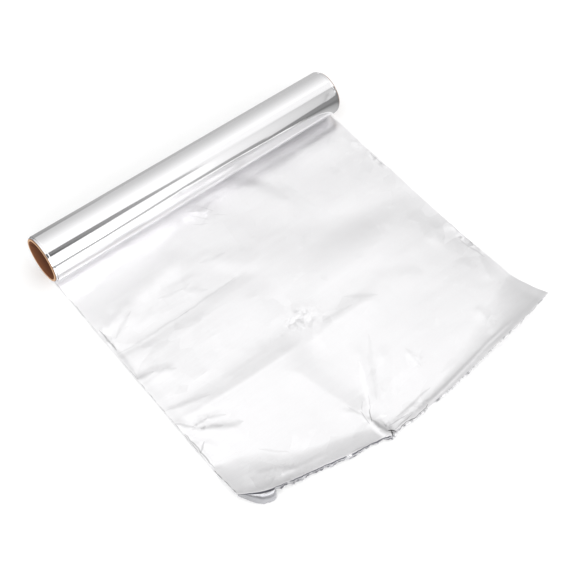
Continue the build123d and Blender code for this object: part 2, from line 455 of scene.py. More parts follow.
# How much the tear changes the lip's reach and hang, how far it shifts the front edge, and
# over what last share of the sheet
REACH_JAG = 0.5
HANG_JAG = 0.3
EDGE_JAG = 0.2
JAGGED_SHARE = 0.015

# How far the side edges waver, where that starts, over what width, and its length
SIDE_JAG = 0.35
SIDE_JAG_START = 146.0
SIDE_JAG_WIDTH = 4.0
SIDE_JAG_LENGTH = 9.0


def torn(x):
    """Raggedness of the torn edge at x, from -1 to 1."""
    coarse = noise.noise(Vector((x / COARSE_TEAR[0], 0.0, 1.5)))
    fine = noise.noise(Vector((x / FINE_TEAR[0], 4.0, 0.5)))
    return max(min(COARSE_TEAR[1] * coarse + FINE_TEAR[1] * fine, 1.0), -1.0)


def lip_progress(along, rows):
    """How far down the torn lip each point is, from 0 to 1."""
    lip_share = LIP_ROWS / rows
    return np.clip((along - 1.0 + lip_share) / lip_share, 0.0, 1.0)


def sheet_places(across, along, rows):
    """Places of the sheet's points in metres, from shares across it and along it."""
    x = across * WEB_WIDTH / MM
    main = np.clip(along / (1.0 - LIP_ROWS / rows), 0.0, 1.0)
    turn = lip_progress(along, rows) * math.pi / 2
    distance = station_value(FRONT_EDGE, x, "distance") * (1.0 - (1.0 - main) ** ROW_CROWDING)
    z = sheet_height(x, distance)
    ragged = np.array([torn(value) for value in x])
    ragged *= FLAP_RAGGEDNESS + (1.0 - FLAP_RAGGEDNESS) * smooth((x - FLAP_END) / FLAP_FADE)
    reach = station_value(TORN_LIP, x, "reach") * (1.0 + REACH_JAG * ragged)
    hang = station_value(TORN_LIP, x, "hang") * station_value(FRONT_EDGE, x, "rise")
    distance = distance + reach * np.sin(turn)
    z = z - hang * (1.0 + HANG_JAG * ragged) * (1.0 - np.cos(turn))
    distance = distance + EDGE_JAG * ragged * smooth(1.0 - (1.0 - main) / JAGGED_SHARE)
    side = np.sign(x) * smooth((np.abs(x) - SIDE_JAG_START) / SIDE_JAG_WIDTH)
    wobble = np.array([noise.noise(Vector((d / SIDE_JAG_LENGTH, 3.0, 7.0))) for d in distance])
    x = x + SIDE_JAG * side * wobble
    return np.column_stack([x * MM, -distance * MM, FLOOR_Z + np.maximum(z, REST_LIFT) * MM])


# Measures that the sheet's material reads: the spans that they are given over, and where
# the lip's ends and the hem's starts, just right of the pinch and just left of it. The
# lip's length is worked out from its reach and a share of the edge's rise.
LIP_SPAN = 6.0
LIP_END = -26.0
LIP_FADE = 4.0
HANGING_SHARE = 0.8
HEM_SPAN = 8.0
HEM_START = -30.0
HEM_FADE = 3.0


def sheet_measures(places, down_lip):
    """How crumpled each point is, how far down the torn lip it is, and how far into the hem."""
    x = places[:, 0] / MM
    distance = -places[:, 1] / MM
    hanging = HANGING_SHARE * station_value(FRONT_EDGE, x, "rise")
    lip = down_lip * np.hypot(station_value(TORN_LIP, x, "reach"), hanging) * smooth((LIP_END - x) / LIP_FADE)
    inward = np.maximum(station_value(FRONT_EDGE, x, "distance") - distance, 0.0)
    hem = np.clip(HEM_SPAN - inward, 0.0, HEM_SPAN) * smooth((x - HEM_START) / HEM_FADE)
    return np.column_stack([crumpled(x, distance), lip, hem])


BLACK = (0, 0, 0)
WHITE = (1, 1, 1)


class Nodes:
    """Short way to add and link the shader nodes of one material."""

    def __init__(self, name, world=False):
        store = bpy.data.worlds if world else bpy.data.materials
        self.owner = store.new(name)
        self.owner.use_nodes = True
        self.tree = self.owner.node_tree
        self.tree.nodes.clear()

    def add(self, kind, settings=None, **inputs):
        node = self.tree.nodes.new(f"ShaderNode{kind}")
        for name, value in (settings or {}).items():
            setattr(node, name, value)
        for name, value in inputs.items():
            self.put(node, name.replace("_", " "), value)
        return node

    def put(self, node, socket, value):
        numbered = socket[0] == "i" and socket[1:].isdigit()
        target = node.inputs[int(socket[1:]) if numbered else socket]
        if isinstance(value, bpy.types.NodeSocket):
            self.tree.links.new(value, target)
        else:
            target.default_value = value

    def object_place(self):
        return self.add("TexCoord").outputs["Object"]

    def attribute(self, name):
        return self.add("Attribute", {"attribute_name": name}).outputs["Fac"]

    def parts(self, vector):
        return self.add("SeparateXYZ", Vector=vector).outputs

    def math(self, operation, a, b=0.0, c=0.0):
        node = self.add("Math", {"operation": operation}, i0=a, i1=b, i2=c)
        return node.outputs[0]

    def vector(self, operation, *values, output="Vector", **inputs):
        numbered = {f"i{index}": value for index, value in enumerate(values)}
        node = self.add("VectorMath", {"operation": operation}, **numbered, **inputs)
        return node.outputs[output]

    def spread(self, value, low, high, start=0.0, end=1.0):
        """Value that runs from start to end where the given one runs from low to high."""
        node = self.add("MapRange", Value=value, From_Min=low, From_Max=high, To_Min=start, To_Max=end)
        return node.outputs["Result"]

    def ramp(self, factor, *stops):
        node = self.add("ValToRGB", Fac=factor)
        elements = node.color_ramp.elements
        while len(elements) < len(stops):
            elements.new(0.5)
        for element, (place, colour) in zip(elements, stops):
            element.position = place
            element.color = colour if len(colour) == 4 else (*colour, 1.0)
        return node.outputs["Color"]

    def step(self, factor, low, high):
        """Ramp from black at low to white at high."""
        return self.ramp(factor, (low, BLACK), (high, WHITE))

    def blend(self, share, plain, other, kind="MIX"):
        """Mix of two colours."""
        mixed = self.add("Mix", {"data_type": "RGBA", "blend_type": kind}, i0=share, i6=plain, i7=other)
        return mixed.outputs[2]

    def noise(self, vector, scale, detail=2.0, roughness=0.5):
        node = self.add("TexNoise", Vector=vector, Scale=scale, Detail=detail, Roughness=roughness)
        return node.outputs["Fac"]

    def stretched(self, vector, scale):
        return self.add("Mapping", Vector=vector, Scale=scale).outputs["Vector"]

    def streaks(self, vector, stretch, detail=2.0, roughness=0.5):
        return self.noise(self.stretched(vector, stretch), 1.0, detail, roughness)

    def bump(self, height, strength, distance, normal=None):
        node = self.add("Bump", Height=height, Strength=strength, Distance=distance)
        if normal is not None:
            self.put(node, "Normal", normal)
        return node.outputs["Normal"]

    def finish(self, shader):
        out = self.add("OutputMaterial")
        self.tree.links.new(shader, out.inputs["Surface"])
        return self.owner


class RollSettings(bpy.types.PropertyGroup):
    around: bpy.props.IntProperty(
        name="Points around", description="Points around the roll and the core",
        default=144, min=24)
    turns_shown: bpy.props.IntProperty(
        name="Turns at the ends", description="Turns of foil that can be told apart at the roll's ends",
        default=6, min=1)
    turn_stagger: bpy.props.FloatProperty(
        name="Stagger of the turns", description="How far one turn stands out past the next at the ends",
        default=0.00015, unit="LENGTH", precision=5)
    outer_setback: bpy.props.FloatProperty(
        name="Setback of the outer turns",
        description="How far the outer turns stand back from the web's edge at the ends",
        default=0.0004, unit="LENGTH", precision=5)
    inner_standout: bpy.props.FloatProperty(
        name="Standout of the inner turns",
        description="How far the inner turns stand out past the web's edge at the ends",
        default=0.0012, unit="LENGTH", precision=5)
    core_bevel: bpy.props.FloatProperty(
        name="Softness of the core's rim",
        description="Width of the worn edge at each end of the card core",
        default=0.00035, unit="LENGTH", precision=5)


class SheetSettings(bpy.types.PropertyGroup):
    columns: bpy.props.IntProperty(
        name="Columns", description="Faces across the sheet",
        default=214, min=20)
    rows: bpy.props.IntProperty(
        name="Rows", description="Faces along the sheet, from the roll to the torn edge",
        default=216, min=20)
    thickness: bpy.props.FloatProperty(
        name="Thickness", description="Thickness of the modelled foil",
        default=0.00012, unit="LENGTH", precision=5)


class FinishSettings(bpy.types.PropertyGroup):
    foil_colour: bpy.props.FloatVectorProperty(
        name="Foil colour", description="Colour of the bare aluminium",
        default=(0.938, 0.933, 0.943), subtype="COLOR", min=0.0, max=1.0)
    bright_roughness: bpy.props.FloatProperty(
        name="Bright side", description="Roughness of the bright side of the foil",
        default=0.09, min=0.0, max=1.0)
    matte_roughness: bpy.props.FloatProperty(
        name="Matte side", description="Roughness of the matte side of the foil",
        default=0.34, min=0.0, max=1.0)
    card_colour: bpy.props.FloatVectorProperty(
        name="Card colour", description="Colour of the core's face",
        default=(0.27, 0.13, 0.06), subtype="COLOR", min=0.0, max=1.0)
    cut_card_colour: bpy.props.FloatVectorProperty(
        name="Cut card colour", description="Colour of the core's cut ends",
        default=(0.66, 0.40, 0.23), subtype="COLOR", min=0.0, max=1.0)


class StageSettings(bpy.types.PropertyGroup):
    floor_size: bpy.props.FloatProperty(
        name="Floor", description="Length of the floor's sides",
        default=6.0, unit="LENGTH")
    floor_colour: bpy.props.FloatVectorProperty(
        name="Floor colour", description="Colour of the floor",
        default=(0.86, 0.86, 0.86), subtype="COLOR", min=0.0, max=1.0)
    sky_level: bpy.props.FloatProperty(
        name="Sky", description="Brightness of the studio above the object",
        default=1.14, min=0.0)
    horizon_level: bpy.props.FloatProperty(
        name="Horizon behind", description="Brightness of the studio low down behind the object",
        default=0.58, min=0.0)
    lamp_power: bpy.props.FloatProperty(
        name="Lamp", description="Power of the soft lamp",
        default=5.0, min=0.0, unit="POWER")


# A coarser noise bends the facets' edges: its scale and its reach, as shares of a facet's
FACET_BEND_SCALE = 0.45
FACET_BEND = 1.3


def facets(m, place, scale, tilt, amount):
    """Flat facets of crumpled foil: each cell leans its own way, by up to tilt."""
    bend = m.add("TexNoise", Vector=place, Scale=scale * FACET_BEND_SCALE, Detail=1.0).outputs["Color"]
    moved = m.vector("MULTIPLY_ADD", bend, (FACET_BEND / scale,) * 3, place)
    cells = m.add("TexVoronoi", {"feature": "F1"}, Vector=moved, Scale=scale).outputs["Color"]
    lean = m.vector("MULTIPLY", m.vector("SUBTRACT", cells, (0.5, 0.5, 0.5)), (2.0 * tilt, 2.0 * tilt, 0.0))
    return m.vector("SCALE", lean, Scale=amount)


# Painted shade marks: how far they waver, their width at the ends as a share of the middle's,
# and the places across them, in half widths, where they start and where they are full
MARK_BEND = 0.0035
MARK_END_WIDTH = 0.15
MARK_START = 1.25
MARK_FULL = 0.25


def paint_crease_shade(m, place, colour):
    """Paint the marks' shade and highlights into a colour."""
    bend = m.add("TexNoise", Vector=place, Scale=110.0, Detail=2.0).outputs["Color"]
    bent = m.vector("MULTIPLY_ADD", bend, (MARK_BEND, MARK_BEND, 0.0), place)
    flat = m.vector("MULTIPLY_ADD", bent, (1.0, 1.0, 0.0), (-MARK_BEND / 2, -MARK_BEND / 2, 0.0))
    for shade_mark in PAINTED_SHADE_MARKS:
        start, end = (Vector((x, -distance, 0.0)) * MM for x, distance in (shade_mark.start, shade_mark.end))
        reach = end - start
        out = m.vector("SUBTRACT", flat, start)
        run = m.vector("DOT_PRODUCT", out, reach / reach.length_squared, output="Value")
        share = m.add("Clamp", Value=run).outputs["Result"]
        away = m.vector("DISTANCE", out, m.vector("SCALE", reach, Scale=share), output="Value")
        bow = m.math("MULTIPLY", share, m.math("SUBTRACT", 1.0, share))
        width = m.math("MULTIPLY_ADD", bow, 4.0 * (1.0 - MARK_END_WIDTH), MARK_END_WIDTH)
        across = m.math("DIVIDE", away, m.math("MULTIPLY", width, shade_mark.width * MM / 2))
        tone = m.math("MULTIPLY_ADD", m.spread(across, MARK_START, MARK_FULL), shade_mark.tone - 1.0, 1.0)
        colour = m.vector("SCALE", colour, Scale=tone)
    return colour


# The sheet's long wrinkles and fine creases: their depths, and where the creases start and
# are full towards the left, in metres
WRINKLE_DEPTH = 0.0006
CREASE_DEPTH = 0.0005
CREASES_START = 0.02
CREASES_FULL = -0.09


def sheet_relief(m, place, normal):
    """Long wrinkles, fine creases towards the left, and the facets of crumpled foil."""
    ridges = m.math("ABSOLUTE", m.math("SUBTRACT", m.streaks(place, (9.0, 70.0, 70.0)), 0.5))
    normal = m.bump(ridges, 0.5, WRINKLE_DEPTH, normal)
    leftward = m.spread(m.parts(place)["X"], CREASES_START, CREASES_FULL)
    creases = m.math("MULTIPLY", m.streaks(place, (16.0, 150.0, 150.0), 3.0, 0.6), leftward)
    normal = m.bump(creases, 0.5, CREASE_DEPTH, normal)
    crumple = m.attribute("crumpled")
    ragged = m.math("ADD", crumple, m.math("SUBTRACT", m.noise(place, 95.0, 3.0), 0.5))
    around = m.step(ragged, 0.05, 0.22)
    inside = m.math("MULTIPLY", m.step(ragged, 0.34, 0.55), crumple)
    # Facets from wide to fine: stretch, cells a metre, lean, and where they show
    for stretch, scale, tilt, amount in (
            (1.0, 26.0, 0.012, 1.0), (0.6, 75.0, 0.055, around),
            (1.0, 170.0, 0.15, inside), (0.7, 420.0, 0.15, inside)):
        lean = facets(m, m.stretched(place, (stretch, 1.0, 1.0)), scale, tilt, amount)
        normal = m.vector("NORMALIZE", m.vector("ADD", normal, lean))
    return normal


# Painted shade of the torn lip: the grey of its flap, the deeper and paler shade of the bits of its fringe,
# and its painted shadows
FLAP_SHADE = (0.48, 0.48, 0.50, 1.0)
DEEP_SHADE_BITS = (0.20, 0.20, 0.22)
PALER_SHADE_BITS = (0.60, 0.60, 0.62)
TEAR_SHADOW = (0.13, 0.13, 0.15, 1.0)


def sheet_colour(m, place, colour):
    """Colour of the sheet, with painted shade on the torn lip left of the pinch, the painted crease shade and
    highlights, and painted shadow along the torn line.
    """
    across = m.parts(place)["X"]
    down_lip = m.math("DIVIDE", m.attribute("torn_lip"), LIP_SPAN)
    flap = m.math("LESS_THAN", across, (FLAP_END + FLAP_FADE / 2) * MM)
    # Painted shade on the lip: deeper and paler on the fringe's bits, grey on the hanging flap
    bits = m.ramp(m.streaks(place, (300.0, 160.0, 160.0)), (0.40, DEEP_SHADE_BITS), (0.62, PALER_SHADE_BITS))
    colour = m.blend(m.step(down_lip, 0.30, 0.45), colour, m.blend(flap, bits, FLAP_SHADE))
    # Painted shade and highlights of the creases
    colour = paint_crease_shade(m, place, colour)
    # Painted shadow in slivers under the lip's turn, and in a broken line along the torn edge
    fold = m.ramp(down_lip, (0.04, BLACK), (0.10, WHITE), (0.26, WHITE), (0.36, BLACK))
    slivers = m.step(m.streaks(place, (75.0, 10.0, 10.0), 3.0, 0.6), 0.37, 0.45)
    torn_line = m.step(m.math("DIVIDE", m.attribute("hem"), HEM_SPAN), 0.93, 0.97)
    broken = m.step(m.streaks(place, (160.0, 60.0, 60.0), 3.0, 0.7), 0.44, 0.62)
    fading = m.math("MULTIPLY", broken, m.spread(across, 0.15, -0.02, 0.25, 0.8))
    dark = m.math("MAXIMUM", m.math("MULTIPLY", fold, slivers), m.math("MULTIPLY", torn_line, fading))
    return m.blend(dark, colour, TEAR_SHADOW)


# Painted shade on the turns at the roll's ends, and how far past the web's edge the darker ones stand
END_SHADE = (0.5, 0.5, 0.5, 1.0)
INNER_TURN_SHADE = (0.05, 0.05, 0.055, 1.0)
DARK_TURNS_STANDOUT = 0.0005


def turns_colour(m, place, colour):
    """Colour of the roll, with painted shade that greys its ends and darkens its inner turns."""
    facing = m.parts(m.add("NewGeometry").outputs["Normal"])["X"]
    ends = m.math("GREATER_THAN", m.math("ABSOLUTE", facing), 0.7)
    reach = m.math("ABSOLUTE", m.parts(place)["X"])
    inner = m.math("GREATER_THAN", reach, WEB_WIDTH / 2 + DARK_TURNS_STANDOUT)
    return m.blend(ends, colour, m.blend(inner, INNER_TURN_SHADE, END_SHADE))


# Foil's own relief: how many lines and soft waves a metre has, and their depths
LINES_A_METRE = 900.0
LINE_DEPTH = 0.000012
WAVES_A_METRE = 120.0
WAVE_DEPTH = 0.0001


def foil_material(name, roughness, grain, crinkle, relief, dress):
    """Bare aluminium with the fine lines that rolling leaves along the web."""
    foil_colour = bpy.context.scene.foil_finish.foil_colour
    m = Nodes(name)
    place = m.object_place()
    lines = m.noise(m.stretched(place, (1.0, 0.03, 0.03)), LINES_A_METRE, 3.0)
    soft = m.bump(m.noise(place, WAVES_A_METRE, 4.0, 0.6), 0.3, WAVE_DEPTH * crinkle)
    normal = m.bump(lines, 0.5, LINE_DEPTH * grain, soft)
    if relief:
        normal = relief(m, place, normal)
    cloud = m.noise(place, 22.0, 3.0)
    colour = m.ramp(cloud, (0.3, [c * 0.98 for c in foil_colour]), (0.7, list(foil_colour)))
    shader = m.add(
        "BsdfPrincipled", Base_Color=dress(m, place, colour), Metallic=1.0,
        Roughness=m.spread(lines, 0.0, 1.0, roughness * 0.85, roughness * 1.15), Normal=normal)
    return m.finish(shader.outputs["BSDF"])


# The core's card: the pitch of its seam, the thickness of a ply, how deep the cut face
# reaches, how deep the bore's painted shade darkens inwards, and the wall that counts as the bore's
SEAM_PITCH = 0.075
PLY = 0.00045
CUT_DEPTH = 0.0002
BORE_SHADE_DEPTH = 0.016
BORE_SKIN = 0.0004


def card_material():
    """Brown card with its fibres, the ply seam that winds along it, paler cut ends, and painted shade that
    darkens deeper into the bore.
    """
    settings = bpy.context.scene.foil_finish
    m = Nodes("core_card")
    place = m.object_place()
    x, y, z = m.parts(place)
    turn = m.math("DIVIDE", m.math("ARCTAN2", z, y), 2 * math.pi)
    winding = m.math("FRACT", m.math("ADD", turn, m.math("DIVIDE", x, SEAM_PITCH)))
    seam = m.ramp(winding, (0.0, BLACK), (0.012, WHITE), (0.985, WHITE), (1.0, BLACK))
    radius = m.math("SQRT", m.math("ADD", m.math("POWER", y, 2.0), m.math("POWER", z, 2.0)))
    plies = m.math("SINE", m.math("MULTIPLY", radius, 2 * math.pi / PLY))
    fibres = m.noise(m.stretched(place, (0.25, 1.0, 1.0)), 1400.0, 4.0, 0.65)
    blotch = m.noise(place, 160.0, 3.0)
    face = m.ramp(m.math("ADD", m.math("MULTIPLY", fibres, 0.6), m.math("MULTIPLY", blotch, 0.4)),
                  (0.3, [c * 0.78 for c in settings.card_colour]), (0.7, list(settings.card_colour)))
    cut = m.ramp(m.math("MULTIPLY_ADD", plies, 0.2, fibres),
                 (0.2, [c * 0.8 for c in settings.cut_card_colour]), (0.8, list(settings.cut_card_colour)))
    depth = m.math("SUBTRACT", CORE_LENGTH / 2, m.math("ABSOLUTE", x))
    # Painted shade in the bore, darker further in from its mouth
    bore = m.ramp(m.math("DIVIDE", depth, BORE_SHADE_DEPTH), (0.0, (0.24, 0.085, 0.03)),
                  (0.5, (0.12, 0.036, 0.013)), (1.0, (0.035, 0.011, 0.006)))
    face = m.blend(m.math("LESS_THAN", radius, BORE_RADIUS + BORE_SKIN), face, bore)
    tone = m.blend(m.math("LESS_THAN", depth, CUT_DEPTH), face, cut)
    relief = m.bump(fibres, 0.5, 0.0001, m.bump(seam, 0.6, 0.00015))
    shader = m.add(
        "BsdfPrincipled", Base_Color=m.blend(0.35, tone, seam, "MULTIPLY"), Roughness=0.82,
        Normal=relief)
    return m.finish(shader.outputs["BSDF"])


def closed_outline(bm, places):
    """Points and edges of a closed outline."""
    points = [bm.verts.new(place) for place in places]
    return points, [bm.edges.new(pair) for pair in zip(points, points[1:] + points[:1])]


def spin_profile(profile, steps):
    """Turn a closed profile, given as (x, radius) points in metres, about the roll's axis."""
    bm = bmesh.new()
    points, edges = closed_outline(bm, [(x, 0.0, radius) for x, radius in profile])
    bmesh.ops.spin(
        bm, geom=points + edges, axis=(1, 0, 0), cent=(0, 0, 0), angle=2 * math.pi,
        steps=steps, use_merge=True, use_duplicate=False)
    bmesh.ops.recalc_face_normals(bm, faces=bm.faces[:])
    return bm


def mesh_from(bm, name, sharp=None):
    """Smooth mesh with sharp edges where its faces turn by more than some degrees."""
    mesh = bpy.data.meshes.new(name)
    bm.to_mesh(mesh)
    bm.free()
    mesh.shade_smooth()
    if sharp:
        mesh.set_sharp_from_angle(angle=math.radians(sharp))
    return mesh


class FOILROLL_OT_core(bpy.types.Operator):
    """Build the card core with worn rims"""

    bl_idname = "foilroll.core"
    bl_label = "Card Core"

    def execute(self, context):
        settings = context.scene.foil_roll
        half = CORE_LENGTH / 2
        profile = [(-half, BORE_RADIUS), (-half, CORE_RADIUS), (half, CORE_RADIUS), (half, BORE_RADIUS)]
        bm = spin_profile(profile, settings.around)
        rims = [
            edge for edge in bm.edges
            if abs(edge.verts[0].co.x - edge.verts[1].co.x) < TOLERANCE
            and abs(edge.verts[0].co.yz.length - edge.verts[1].co.yz.length) < TOLERANCE]
        bmesh.ops.bevel(
            bm, geom=rims, offset=settings.core_bevel, offset_type="OFFSET", segments=3,
            profile=0.5, affect="EDGES", material=-1)
        add_piece("card_core", mesh_from(bm, "card_core", sharp=50), card_material(), "core", "core_tube")
        return {"FINISHED"}


# Wound turns: the columns of faces along the roll, the share of the turns, from the core
# out, that stand out at its ends, the gap between two of them as a share of one, the depth
# of that gap in staggers, the angles that vary the stagger from turn to turn, and the
# shoulder of the outermost turn
ROLL_COLUMNS = 150
INNER_TURNS = 0.5
TURN_GAP = 0.18
GAP_DEPTH = 1.4
STAGGER_STEP = 2.4
STAGGER_START = 0.6
SHOULDER = MM / 20

# Unevenness of the outer turn: waves along the roll and round it, and depth
Ripple = namedtuple("Ripple", "along round depth")
RIPPLES = [Ripple(14.0, 1.2, 0.06), Ripple(60.0, 4.0, 0.01)]

# Dents in the outer turn: middle along the roll, angle from its top towards the front,
# reach along and round it, and depth. They are wrinkled, and hardly bulge.
DENT_WRINKLE = 1.2
MOST_BULGE = 0.02
Dent = namedtuple("Dent", "x angle along round depth")
DENTS = [
    Dent(-24, 66, 9, 9, 0.16),
    Dent(-30, 60, 7, 6, -0.10),
    Dent(144, 44, 8, 10, 0.30),
    Dent(148, 34, 5, 8, -0.20),
    Dent(139, 50, 6, 7, 0.16),
]


def dent_depth(x, angle):
    """Depth of the dents at a point of the outer turn, in millimetres."""
    depth = 0.0
    for dent in DENTS:
        reach = math.hypot((x - dent.x) / dent.along, (angle - dent.angle) / dent.round)
        if reach < 1.0:
            wrinkle = noise.noise(Vector((x / 2.2, angle / 4.0, dent.depth)))
            depth += dent.depth * (1.0 - reach) ** 2 * (1.0 + DENT_WRINKLE * wrinkle)
    return max(depth, -MOST_BULGE)


def make_uneven(vertex):
    """Move a point of the outer turn in or out by its ripples and dents."""
    x, y, z = vertex.co
    angle = math.atan2(z, y)
    depth = dent_depth(x / MM, math.degrees(math.atan2(-y, z)))
    for ripple in RIPPLES:
        place = Vector((x * ripple.along, math.cos(angle) * ripple.round, math.sin(angle) * ripple.round))
        depth += (0.5 + 0.5 * noise.noise(place)) * ripple.depth
    radius = vertex.co.yz.length - depth * MM
    vertex.co.yz = radius * math.cos(angle), radius * math.sin(angle)


def turn_ends(settings):
    """Outline of the turns at the right end, as (x, radius) points from the core outwards."""
    half = WEB_WIDTH / 2
    turns = settings.turns_shown
    turn_thickness = (ROLL_RADIUS - CORE_RADIUS) / turns
    gap = turn_thickness * TURN_GAP
    outline = [(half - settings.outer_setback, CORE_RADIUS)]
    for turn in range(turns):
        inner = CORE_RADIUS + turn_thickness * turn
        outer = inner + turn_thickness
        depth = settings.turn_stagger * abs(math.sin(STAGGER_STEP * turn + STAGGER_START))
        depth += settings.outer_setback if turn >= turns * INNER_TURNS else -settings.inner_standout
        end = half - depth
        outline.append((end, inner + gap))
        if turn < turns - 1:
            outline += [(end, outer - gap), (end - settings.turn_stagger * GAP_DEPTH, outer)]
    return outline + [(end, ROLL_RADIUS - SHOULDER), (end - SHOULDER, ROLL_RADIUS)]


class FOILROLL_OT_turns(bpy.types.Operator):
    """Wind the turns of foil on the core"""

    bl_idname = "foilroll.turns"
    bl_label = "Wound Turns"

    def execute(self, context):
        settings = context.scene.foil_roll
        right = turn_ends(settings)
        body = [(WEB_WIDTH * (0.5 - step / ROLL_COLUMNS), ROLL_RADIUS) for step in range(1, ROLL_COLUMNS)]
        left = [(-x, radius) for x, radius in reversed(right)]
        bm = spin_profile(right + body + left, settings.around)
        for vertex in bm.verts:
            if vertex.co.yz.length > ROLL_RADIUS - TOLERANCE:
                make_uneven(vertex)
        finish = context.scene.foil_finish
        bright = foil_material("bright_foil", finish.bright_roughness, 0.6, 0.05, None, turns_colour)
        add_piece("wound_turns", mesh_from(bm, "wound_turns", sharp=35), bright, "foil", "foil")
        return {"FINISHED"}


class FOILROLL_OT_sheet(bpy.types.Operator):
    """Lay the pulled sheet with its folds, creases, curled edge and torn lip"""

    bl_idname = "foilroll.sheet"
    bl_label = "Pulled Sheet"

    def execute(self, context):
        settings = context.scene.foil_sheet
        bm = bmesh.new()
        bmesh.ops.create_grid(bm, x_segments=settings.columns, y_segments=settings.rows, size=0.5)
        layers = [bm.verts.layers.float.new(name) for name in ("crumpled", "torn_lip", "hem")]
        vertices = list(bm.verts)
        across = np.array([vertex.co.x for vertex in vertices])
        along = np.array([0.5 - vertex.co.y for vertex in vertices])
        places = sheet_places(across, along, settings.rows)
        measures = sheet_measures(places, lip_progress(along, settings.rows))
        for vertex, place, values in zip(vertices, places, measures):
            vertex.co = place
            for layer, value in zip(layers, values):
                vertex[layer] = value
        bmesh.ops.reverse_faces(bm, faces=bm.faces[:])
        bmesh.ops.solidify(bm, geom=bm.faces[:], thickness=settings.thickness)
        bmesh.ops.recalc_face_normals(bm, faces=bm.faces[:])
        finish = context.scene.foil_finish
        matte = foil_material("matte_foil", finish.matte_roughness, 1.0, 1.0, sheet_relief, sheet_colour)
        sheet = add_piece("pulled_sheet", mesh_from(bm, "pulled_sheet", sharp=60), matte, "foil", "foil")
        return {"FINISHED"}


# Camera, fitted to the photograph's round ends and straight edges
CAMERA_PLACE = (-0.32922, -0.46856, 0.69573)
CAMERA_AZIMUTH = math.radians(44.21)
CAMERA_DOWN = math.radians(56.87)
CAMERA_ROLL = math.radians(5.058)
CAMERA_LENS = 64.74
SENSOR_WIDTH = 36.0


def camera_matrix():
    """The camera's place and turn, from its azimuth, tilt and roll."""
    ahead = Vector((math.sin(CAMERA_AZIMUTH) * math.cos(CAMERA_DOWN),
                    math.cos(CAMERA_AZIMUTH) * math.cos(CAMERA_DOWN), -math.sin(CAMERA_DOWN)))
    right = ahead.cross(Vector((0, 0, 1))).normalized()
    up = right.cross(ahead)
    turned_right = math.cos(CAMERA_ROLL) * right + math.sin(CAMERA_ROLL) * up
    turned_up = math.cos(CAMERA_ROLL) * up - math.sin(CAMERA_ROLL) * right
    turn = Matrix((turned_right, turned_up, -ahead)).transposed().to_4x4()
    return Matrix.Translation(Vector(CAMERA_PLACE)) @ turn


def add_camera():
    camera = bpy.data.cameras.new("camera")
    camera.lens = CAMERA_LENS
    camera.sensor_width = SENSOR_WIDTH
    camera.sensor_fit = "HORIZONTAL"
    camera.clip_start = 0.01
    eye = new_object("camera", camera)
    eye.matrix_world = camera_matrix()
    bpy.context.scene.camera = eye


# Light that the floor shows over what falls on it, so that it looks white
FLOOR_GLOW = 0.13


def floor_material():
    """Pale floor that keeps the object's shadow."""
    settings = bpy.context.scene.foil_stage
    m = Nodes("pale_floor")
    colour = (*settings.floor_colour, 1.0)
    plain = m.add("BsdfDiffuse", Color=colour)
    rays = m.add("LightPath").outputs
    seen = m.math("MAXIMUM", rays["Is Camera Ray"],
                  m.math("MAXIMUM", rays["Is Glossy Ray"], rays["Is Transmission Ray"]))
    glow = m.add("Emission", Color=(1, 1, 1, 1), Strength=m.math("MULTIPLY", seen, FLOOR_GLOW))
    both = m.add("AddShader", i0=plain.outputs[0], i1=glow.outputs[0])
    return m.finish(both.outputs[0])


def add_floor():
    settings = bpy.context.scene.foil_stage
    bm = bmesh.new()
    bmesh.ops.create_grid(bm, x_segments=1, y_segments=1, size=settings.floor_size / 2)
    bmesh.ops.translate(bm, verts=bm.verts[:], vec=(0, 0, FLOOR_Z))
    floor = new_object("floor", mesh_from(bm, "floor"))
    floor.data.materials.append(floor_material())


# Direction in which the studio is darkest, and how near to it the darkening starts
DARK_DIRECTION = (0.57, 0.82, 0.0)
DARK_START = 0.33


def add_world():
    """Bright studio, greyer low down behind the object."""
    settings = bpy.context.scene.foil_stage
    m = Nodes("studio", world=True)
    towards = m.add("TexCoord").outputs["Generated"]
    back = m.vector("DOT_PRODUCT", towards, DARK_DIRECTION, output="Value")
    level = m.spread(back, DARK_START, 1.0, settings.sky_level, settings.horizon_level)
    light = m.add("Background", Color=(1, 1, 1, 1), Strength=level)
    out = m.add("OutputWorld")
    m.tree.links.new(light.outputs[0], out.inputs["Surface"])
    bpy.context.scene.world = m.owner


# Cards that only the foil shows: the corners of each in metres over the floor, and its
# brightness at each corner. Some lie just over the floor and some high over the object.
Card = namedtuple("Card", "corners levels")
LOW = 0.002
LOWEST = 0.0005
HIGH = 1.0


def flat_card(height, corners, levels):
    """Card that lies level at one height over the floor."""
    return Card([(x, y, height) for x, y in corners], levels)


